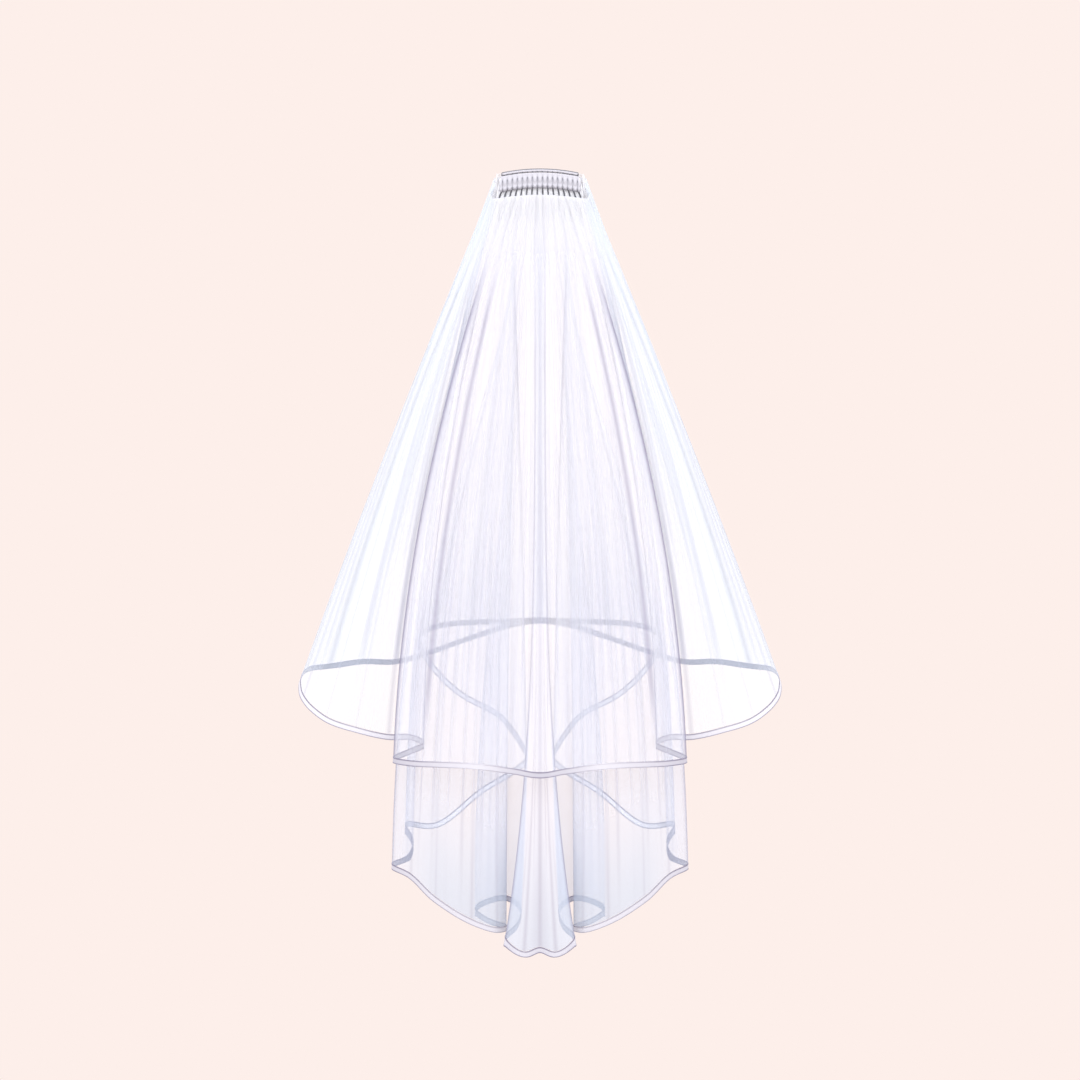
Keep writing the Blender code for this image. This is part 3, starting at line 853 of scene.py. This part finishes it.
def ribbon_mesh(name, cloth):
    """The satin ribbon that continues a tier's hem, with a raised selvedge on each side and
    painted shade.
    """
    edge = cloth.grid[-1]
    normals = surface_normals(cloth.grid)[-1]
    fall = unit(edge - cloth.grid[-3])
    along = unit(np.roll(edge, -1, axis=0) - np.roll(edge, 1, axis=0))
    sine = np.linalg.norm(np.cross(fall, along), axis=1, keepdims=True)
    seam = SEAM_GAP / np.maximum(sine, LEAST_SEAM_SINE)
    width = RIBBON_WIDTH / np.maximum(sine, LEAST_RIBBON_SINE)
    rows, values, across = [], [], []
    for side in (1, -1):
        lit = ease(-side * normals[:, 1], *TURN_REACH)
        part = TURNED_PART + (1 - TURNED_PART) * lit
        body = cloth.tone * part
        for share, height, dark in RIBBON_SECTION[::side]:
            rows.append(edge + fall * (seam + width * share) + normals * side * height * MM)
            # Painted shade: the folds' shade on the body, darker at the selvedges, less on the
            # face turned from the near side
            values.append(body + dark * (1 - body) * cloth.edge * part)
            across.append(np.full(len(edge), share * RIBBON_WIDTH))
    flat = (np.tile(cloth.along[0], (len(rows), 1)), np.array(across))
    return make_mesh(name, rows, closed_down=True, values={"shade": values}, flat=flat)


def rings(points, side, out, radii, sides):
    """Rings of points round the points of a line, for make_mesh or add_tubes."""
    angles = (2 * pi * np.arange(sides) / sides)[None, :, None]
    ring = side[:, None] * np.cos(angles) + out[:, None] * np.sin(angles)
    return points[:, None] + ring * np.broadcast_to(radii, len(points))[:, None, None]


# A way that no wire of the comb follows, to measure the sides of its rings from
ACROSS_COMB = np.array([0.0, 1.0, 0.0]) + 1e-6


def tube(points, radii, sides):
    """Rings along an open line, with one radius or one for each point."""
    points = np.asarray(points, dtype=float)
    ways = unit(np.gradient(points, axis=0))
    side = unit(np.cross(ways, ACROSS_COMB))
    return rings(points, side, np.cross(side, ways), radii, sides)


def tube_loop(points, radii, sides):
    """Rings round a closed line that lies in a plane across the comb."""
    points = np.asarray(points, dtype=float)
    ways = unit(np.roll(points, -1, axis=0) - np.roll(points, 1, axis=0))
    side = np.tile(np.array([1.0, 0.0, 0.0]), (len(points), 1))
    return rings(points, side, np.cross(side, ways), radii, sides)


def add_tubes(name, tubes, material, closed=False, replaced=()):
    """Joins tubes into one piece; open ones are closed with a flat end."""
    vertices, faces = [], []
    for tube_rings in tubes:
        base = len(vertices)
        count_down, count = tube_rings.shape[:2]
        vertices += [tuple(point) for point in tube_rings.reshape(-1, 3)]
        for row in range(count_down if closed else count_down - 1):
            here = base + row * count
            below = base + (row + 1) % count_down * count
            for column in range(count):
                after = (column + 1) % count
                faces.append((here + column, here + after, below + after, below + column))
        if not closed:
            last = base + (count_down - 1) * count
            faces.append(tuple(range(base + count - 1, base - 1, -1)))
            faces.append(tuple(range(last, last + count)))
    mesh = bpy.data.meshes.new(name)
    mesh.from_pydata(vertices, [], faces)
    mesh.validate()
    mesh.shade_smooth()
    add_piece(name, mesh, material, replaced)


def tooth_places():
    """The places of the teeth along the comb."""
    first = -(TOOTH_COUNT - 1) * TOOTH_PITCH / 2
    return [first + index * TOOTH_PITCH for index in range(TOOTH_COUNT)]


def rail_line(height, reach):
    """Points along the comb's arched rail at a height over its underside."""
    return [
        (x, head_curve(x), height - arch_drop(x))
        for x in np.linspace(-reach, reach, RAIL_STATIONS)
    ]


def build_comb(metal, thread):
    """Two rail wires, the wound band between them and the teeth."""
    radius = RAIL_WIRE / 2
    reach = COMB_WIDTH / 2 - 1.5 * radius
    tubes = [
        tube(rail_line(radius, reach), radius, WIRE_SIDES),
        tube(rail_line(RAIL_HEIGHT - radius, reach), radius, WIRE_SIDES),
    ]
    for end in (-reach, reach):
        foot = np.array([end, head_curve(end), radius - arch_drop(end)])
        head = foot + [0, 0, RAIL_HEIGHT - RAIL_WIRE]
        tubes.append(tube([foot, (foot + head) / 2, head], radius, WIRE_SIDES))
    for x in tooth_places():
        root = RAIL_WIRE - arch_drop(x)
        tip = -TOOTH_TIP - arch_drop(x)
        points, radii = [], []
        for share, size in TOOTH_PROFILE:
            lean = 1 + (TOOTH_SPREAD - 1) * ease(share, *TOOTH_BEND)
            points.append((x * lean, head_curve(x), root + (tip - root) * share))
            radii.append(TOOTH_DIAMETER / 2 * size)
        tubes.append(tube(points, radii, WIRE_SIDES))
    add_tubes("comb_wires", tubes, metal, replaced=("comb",))
    line = np.array(rail_line(RAIL_HEIGHT / 2, reach - radius))
    band = tube(line, RAIL_HEIGHT / 2 - radius, WIRE_SIDES)
    band[:, :, 1] = line[:, None, 1] + (band[:, :, 1] - line[:, None, 1]) * BAND_FLATNESS
    add_tubes("comb_wound_band", [band], thread)


# Binding round the roots of the teeth: its puffs of net between the teeth
BINDING_TOP = 4.4 * MM
BINDING_FOOT = 15.4 * MM
BINDING_DEPTH = 2.4 * MM
BINDING_RUCHE = 0.5 * MM
BINDING_END_ROOM = 0.5 * MM
BINDING_STEPS = 12
BINDING_END_STEPS = 14
LEAST_BINDING = 0.85 * MM
TUCK = 0.75 * MM
PUFF_ROUNDNESS = 0.6

# And the stitches that tie it down, thin where they pass over its top and foot
THREAD = 0.75 * MM
THREAD_THIN_PART = 0.2
THREAD_SWELL = 3
LEAST_STITCH = 0.9 * MM
STITCH_STEPS = 40
STITCH_SIDES = 10
STITCH_SQUARENESS = 0.45
STITCH_REACH = 0.92

# From top to foot in millimetres: depth below the rail, half thickness, how far the net is
# puffed between the teeth, and how dark the painted shade in the tucks is
BINDING_PROFILE = (
    (0.25, 0.80, 0.0, 0.0),
    (0.70, 1.10, 0.1, 0.0),
    (2.20, 1.15, 0.2, 0.1),
    (3.40, 1.30, 0.4, 0.2),
    (4.30, 1.70, 0.8, 0.7),
    (5.40, 2.05, 1.0, 1.0),
    (6.80, 2.30, 1.0, 1.0),
    (8.40, 2.35, 0.9, 0.8),
    (9.50, 2.20, 0.5, 0.2),
    (10.6, 2.15, 0.3, 0.0),
    (11.6, 2.25, 0.4, 0.2),
    (12.4, 2.40, 1.0, 1.0),
    (13.6, 2.30, 1.0, 1.2),
    (14.4, 1.95, 0.8, 1.2),
    (15.1, 1.40, 0.4, 1.0),
    (15.4, 0.85, 0.0, 0.5),
)


# The gathered edge that stands behind the teeth: depths below the rail and widths to each
# side of the comb's middle, in millimetres
BACKING_PROFILE = (
    (2.0, 39.5),
    (6.0, 40.5),
    (10.0, 41.5),
    (14.0, 42.5),
    (18.0, 43.0),
    (22.0, 43.0),
    (27.0, 43.0),
)
BACKING_COLUMNS = 120
BACKING_PLACE = 1.6 * MM
BACKING_DEPTH = 0.3 * MM
BACKING_GATHER = 0.25 * MM
BACKING_GATHERS = 34
BACKING_SHADE = 0.25


def build_backing(material):
    """The net's gathered edge behind the teeth."""
    rows, values = [], []
    for depth, width in BACKING_PROFILE:
        row, value = [], []
        for column in range(2 * BACKING_COLUMNS):
            side = 1 if column >= BACKING_COLUMNS else -1
            share = (column % BACKING_COLUMNS + 0.5) / BACKING_COLUMNS * 2 - 1
            x = -side * share * width * MM
            comb_x = min(abs(x), COMB_WIDTH / 2)
            gather = cos(BACKING_GATHERS * pi * share)
            middle = head_curve(comb_x) + BACKING_PLACE
            y = middle + side * BACKING_DEPTH / 2 + BACKING_GATHER * gather
            row.append((x, y, -depth * MM - arch_drop(comb_x)))
            # Painted shade that follows the gathers
            value.append(BACKING_SHADE * (1 + gather) / 2)
        rows.append(row)
        values.append(value)
    mesh = make_mesh("gathered_edge", rows, values={"shade": values})
    add_piece("gathered_edge", mesh, material)


def binding_columns():
    """Columns round the binding: x, the way out in x and y, and the place within a puff."""
    end = (TOOTH_COUNT - 1) * TOOTH_PITCH / 2
    count = (TOOTH_COUNT - 1) * BINDING_STEPS
    side = [
        (-end + 2 * end * index / count, index % BINDING_STEPS / BINDING_STEPS)
        for index in range(count + 1)
    ]
    turn = [pi * step / BINDING_END_STEPS for step in range(1, BINDING_END_STEPS)]
    columns = [(x, 0.0, -1.0, puff) for x, puff in side]
    columns += [(end, sin(angle), -cos(angle), 0.5) for angle in turn]
    columns += [(-x, 0.0, 1.0, puff) for x, puff in side]
    columns += [(-end, -sin(angle), cos(angle), 0.5) for angle in turn]
    return columns


def build_binding(material):
    """Puffs of gathered net between the teeth."""
    rows, values = [], []
    for depth, thickness, puffed, dark in BINDING_PROFILE:
        row, value = [], []
        for x, out_x, out_y, puff in binding_columns():
            swell = abs(sin(pi * puff)) ** PUFF_ROUNDNESS
            out = thickness * MM + puffed * (BINDING_RUCHE * swell - TUCK * (1 - swell))
            y = head_curve(x) + out_y * max(out, LEAST_BINDING)
            row.append((x + out_x * (out + BINDING_END_ROOM), y, -depth * MM - arch_drop(x)))
            # Painted shade in the tucks between the puffs
            value.append(min(dark * (1 - swell), 1))
        rows.append(row)
        values.append(value)
    mesh = make_mesh("binding_puffs", rows, values={"shade": values})
    add_piece("binding_puffs", mesh, material, ("comb_binding",))


def build_stitches(thread):
    """A loop of thread round the binding at each tooth."""
    middle = (BINDING_TOP + BINDING_FOOT) / 2
    reach = STITCH_REACH * (BINDING_FOOT - BINDING_TOP) / 2
    loops = []
    for x in tooth_places():
        points, radii = [], []
        for step in range(STITCH_STEPS):
            angle = 2 * pi * step / STITCH_STEPS
            bulge = abs(sin(angle))
            out = max((BINDING_DEPTH - TUCK) * bulge**STITCH_SQUARENESS, LEAST_STITCH)
            side = -1 if angle < pi else 1
            z = -middle - reach * cos(angle) - arch_drop(x)
            points.append((x, head_curve(x) + side * out, z))
            thin = THREAD_THIN_PART + (1 - THREAD_THIN_PART) * bulge**THREAD_SWELL
            radii.append(THREAD * thin)
        loops.append(tube_loop(points, radii, STITCH_SIDES))
    add_tubes("binding_stitches", loops, thread, closed=True)


def build_tier(tier, net, satin):
    """A tier's net and its ribbon."""
    cloth = drape(tier)
    name = "net_" + tier.name
    mesh = make_mesh(name, cloth.grid, values=cloth.looks, flat=(cloth.along, cloth.down))
    sheet = add_piece(name, mesh, net, ("tier_" + tier.name,))
    name = "satin_" + tier.name
    mesh = ribbon_mesh(name, cloth)
    ribbon = add_piece(name, mesh, satin, ("ribbon_" + tier.name,))


# Floor
FLOOR_COLOUR = (0.983, 0.863, 0.823)
FLOOR_HEIGHT = -1.25
FLOOR_RADIUS = 80
FLOOR_SIDES = 64


def build_stage():
    """A plain pale floor that reaches to the horizon."""
    corners = [
        (FLOOR_RADIUS * cos(angle), FLOOR_RADIUS * sin(angle), FLOOR_HEIGHT)
        for angle in np.linspace(0, 2 * pi, FLOOR_SIDES, endpoint=False)
    ]
    mesh = bpy.data.meshes.new("floor")
    mesh.from_pydata(corners, [], [tuple(range(FLOOR_SIDES))])
    nodes = Nodes("floor_paper")
    nodes.set(Roughness=1.0, Specular_IOR_Level=0.0, Emission_Strength=1.0)
    nodes.set(Base_Color=(0, 0, 0, 1), Emission_Color=(*FLOOR_COLOUR, 1))
    mesh.materials.append(nodes.material)
    floor = bpy.data.objects.new("floor", mesh)
    bpy.context.scene.collection.objects.link(floor)


class Lamp(NamedTuple):
    """A rectangular lamp that faces the middle of the veil."""

    name: str
    place: tuple
    size: tuple
    power: float


LAMPS = (
    Lamp("front", (0, -2.6, 1.4), (2.4, 1.6), 42),
    Lamp("left", (-2.4, -0.8, 0.2), (1.4, 2.0), 19.5),
    Lamp("right", (2.4, -0.8, 0.2), (1.4, 2.0), 19.5),
)
VEIL_MIDDLE = (0, 0, -0.38)
SKY_COLOUR = (0.96, 0.97, 1.0)
SKY_STRENGTH = 1.82


def add_softbox(lamp):
    """A soft area light, turned to the middle of the veil."""
    light = bpy.data.lights.new(lamp.name, "AREA")
    light.shape = "RECTANGLE"
    light.size, light.size_y = lamp.size
    light.energy = lamp.power
    softbox = bpy.data.objects.new(lamp.name, light)
    softbox.location = lamp.place
    way = np.array(VEIL_MIDDLE, dtype=float) - np.array(lamp.place, dtype=float)
    tilt = float(np.arctan2(np.hypot(way[0], way[1]), -way[2]))
    softbox.rotation_euler = (tilt, 0, float(np.arctan2(-way[0], way[1])))
    bpy.context.scene.collection.objects.link(softbox)


def build_studio():
    """Soft light from the sky, the front and both sides, and the camera."""
    world = bpy.data.worlds.new("studio")
    world.use_nodes = True
    sky = world.node_tree.nodes["Background"]
    sky.inputs["Color"].default_value = (*SKY_COLOUR, 1)
    sky.inputs["Strength"].default_value = SKY_STRENGTH
    bpy.context.scene.world = world
    for lamp in LAMPS:
        add_softbox(lamp)
    camera_data = bpy.data.cameras.new("camera")
    camera_data.lens = CAMERA_LENS
    camera_data.sensor_width = CAMERA_SENSOR
    camera = bpy.data.objects.new("camera", camera_data)
    camera.location = (
        0,
        -CAMERA_DISTANCE * cos(CAMERA_HEIGHT_ANGLE),
        CAMERA_AIM_Z + CAMERA_DISTANCE * sin(CAMERA_HEIGHT_ANGLE),
    )
    camera.rotation_euler = (pi / 2 - CAMERA_HEIGHT_ANGLE, 0, 0)
    bpy.context.scene.collection.objects.link(camera)
    bpy.context.scene.camera = camera
    bpy.context.scene.view_settings.view_transform = "Standard"


def main():
    """Builds the veil and its studio."""
    net = net_material()
    satin = satin_material()
    build_comb(metal_material(), thread_material("wound_thread", *WOUND_THREAD))
    build_binding(thread_material("gathered_net", *GATHERED_NET))
    build_stitches(thread_material("stitch_thread", *STITCH_THREAD))
    build_backing(thread_material("gathered_edge", *GATHERED_EDGE))
    build_tier(LOWER, net, satin)
    build_tier(UPPER, net, satin)
    build_stage()
    build_studio()


main()
